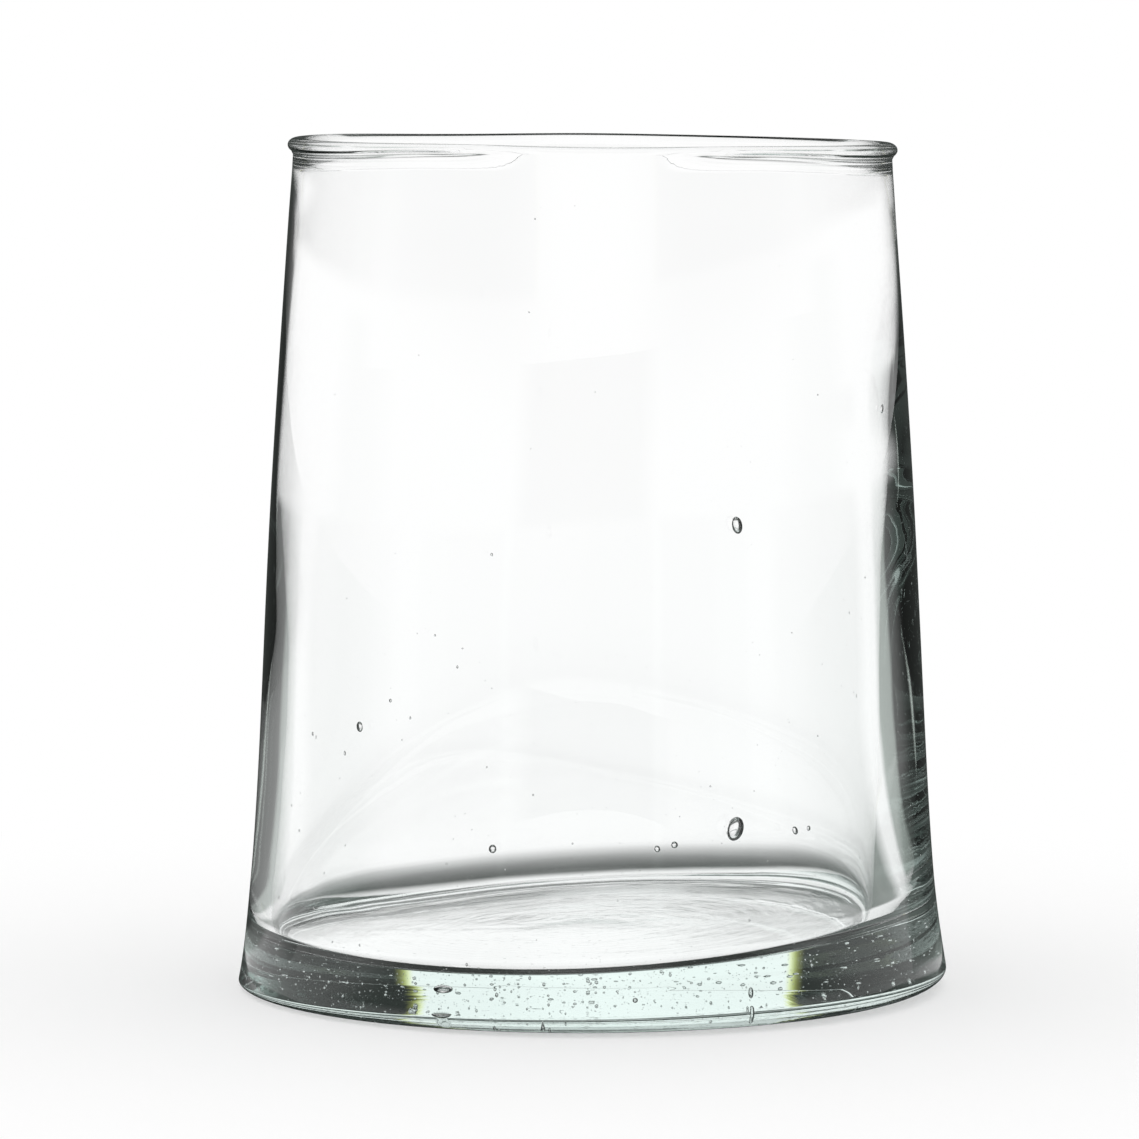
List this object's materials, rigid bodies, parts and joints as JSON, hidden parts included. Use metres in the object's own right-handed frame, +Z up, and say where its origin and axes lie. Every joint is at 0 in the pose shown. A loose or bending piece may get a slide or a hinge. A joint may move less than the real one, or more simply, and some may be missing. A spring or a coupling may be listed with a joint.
{
  "type": "tumbler",
  "caption": "Mouth-blown clear glass tumbler with a thick wide base, sides tapering in to a rolled rim, an uneven wall and bubbles in the glass.",
  "frame": {"origin": "centre of the outside's base circle, on the table the glass stands on", "axes": "+Z up along the axis of the outside, from the foot to the rim; the glass faces -Y; the hollow leans toward -X as it goes down, so the wall is thickest on +X"},
  "size_m": [0.0836, 0.0836, 0.1],
  "materials": {
    "glass": "clear, fire-polished, with a faint aqua-green tint"
  },
  "bodies": {
    "root": {"glass_body": "glass"}
  },
  "joints": []
}
